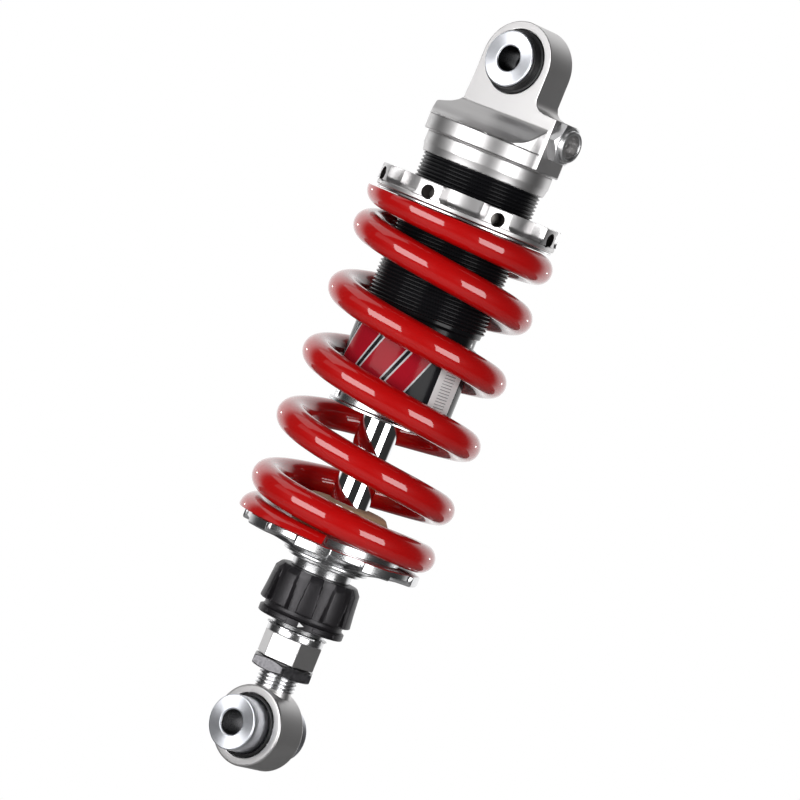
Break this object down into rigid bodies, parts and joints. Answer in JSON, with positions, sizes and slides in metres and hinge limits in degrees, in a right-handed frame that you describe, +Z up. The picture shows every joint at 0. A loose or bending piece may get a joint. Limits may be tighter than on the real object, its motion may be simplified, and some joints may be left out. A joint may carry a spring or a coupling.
{
  "type": "rear shock absorber",
  "caption": "Coil-over rear shock absorber with a threaded preload ring, rebound knob, gas valve and a bearing eye at each end.",
  "frame": {"origin": "centre of the upper eye bore, midway between the lug faces", "axes": "+Z up the shock axis from the lower eye to the upper eye; +Y along both eye bores, away from the front faces; +X towards the gas valve"},
  "size_m": [0.0795, 0.0795, 0.3126],
  "materials": {
    "machined_aluminium": "satin, machined, clear anodised",
    "turned_collar": "bright turned",
    "steel": "machined",
    "chrome": "hard chrome, polished",
    "black_anodised": "satin black anodised",
    "black_steel": "black zinc, satin",
    "rubber": "matt",
    "spring_paint": "gloss powder coat",
    "foam": "closed-cell polyurethane foam",
    "bronze": "bearing bronze",
    "label_film": "gloss printed film"
  },
  "bodies": {
    "damper": {"damper_tube": "black_anodised", "tube_label": "label_film", "head": "machined_aluminium", "gas_valve_body": "machined_aluminium", "gas_valve_screw": "steel", "gas_valve_o_ring": "rubber", "seal_head": "machined_aluminium", "dust_wiper": "rubber", "rod_bushing": "bronze", "oil_seal": "rubber", "seal_head_o_ring": "rubber", "top_out_ring": "rubber", "spring": "spring_paint", "upper_bearing_race": "steel", "upper_circlip_front": "steel", "upper_circlip_rear": "steel", "upper_seal_front": "rubber", "upper_seal_rear": "rubber"},
    "upper_bush": {"upper_bearing_ball": "chrome", "upper_collar_front": "turned_collar", "upper_collar_rear": "turned_collar"},
    "gas_piston": {"floating_piston": "machined_aluminium", "floating_piston_ring": "rubber"},
    "upper_seat": {"upper_spring_seat": "machined_aluminium"},
    "preload_nut": {"preload_ring": "machined_aluminium"},
    "rod": {"piston_rod": "chrome", "compression_shims": "steel", "piston": "machined_aluminium", "piston_band": "rubber", "rebound_shims": "steel", "piston_nut": "steel", "rod_end": "machined_aluminium", "detent_ball": "chrome", "detent_spring": "steel", "knob_circlip": "steel", "lower_spring_seat": "machined_aluminium", "bump_stop": "foam"},
    "knob": {"rebound_knob": "black_anodised"},
    "needle": {"rebound_needle_rod": "bronze", "rebound_cross_pin": "steel"},
    "jam_nut": {"lock_nut": "black_steel"},
    "eye": {"lower_eye": "machined_aluminium", "lower_bearing_race": "steel", "lower_circlip_front": "steel", "lower_circlip_rear": "steel", "lower_seal_front": "rubber", "lower_seal_rear": "rubber"},
    "lower_bush": {"lower_bearing_ball": "chrome", "lower_collar_front": "turned_collar", "lower_collar_rear": "turned_collar"}
  },
  "joints": [
    {"name": "rod_stroke", "type": "slide", "parent": "damper", "child": "rod", "axis": [0, 0, 1], "range_m": [0, 0.044], "stiffness_N_per_m": 60000, "deforming": ["spring", "bump_stop"]},
    {"name": "floating_piston_travel", "type": "slide", "parent": "damper", "child": "gas_piston", "axis": [0, 0, 1], "range_m": [-0.0001, 0.0072]},
    {"name": "preload_travel", "type": "slide", "parent": "damper", "child": "upper_seat", "axis": [0, 0, 1], "range_m": [-0.006, 0.008], "deforming": ["spring"]},
    {"name": "preload_turn", "type": "hinge", "parent": "upper_seat", "child": "preload_nut", "pos_m": [0, 0, -0.06], "axis": [0, 0, 1], "range_deg": [-1441, 1921]},
    {"name": "rebound_adjust", "type": "hinge", "parent": "rod", "child": "knob", "pos_m": [0, 0, -0.2255], "axis": [0, 0, 1], "range_deg": [-271, 271]},
    {"name": "rebound_needle_travel", "type": "slide", "parent": "rod", "child": "needle", "axis": [0, 0, 1], "range_m": [-0.00075, 0.00075]},
    {"name": "lock_nut_back_off", "type": "slide", "parent": "rod", "child": "jam_nut", "axis": [0, 0, 1], "range_m": [-0.0015, 0]},
    {"name": "length_adjust", "type": "slide", "parent": "rod", "child": "eye", "axis": [0, 0, 1], "range_m": [-0.005, 0.005]},
    {"name": "upper_bush_swivel", "type": "hinge", "parent": "damper", "child": "upper_bush", "pos_m": [0, 0, 0], "axis": [0, 1, 0], "continuous": true},
    {"name": "lower_bush_swivel", "type": "hinge", "parent": "eye", "child": "lower_bush", "pos_m": [0, 0, -0.28], "axis": [0, 1, 0], "continuous": true}
  ],
  "couplings": [
    {"joint": "floating_piston_travel", "follows": "rod_stroke", "ratio": 0.16},
    {"joint": "preload_turn", "follows": "preload_travel", "rad_per_m": 4188.8},
    {"joint": "rebound_adjust", "follows": "rebound_needle_travel", "rad_per_m": 6283.2}
  ]
}
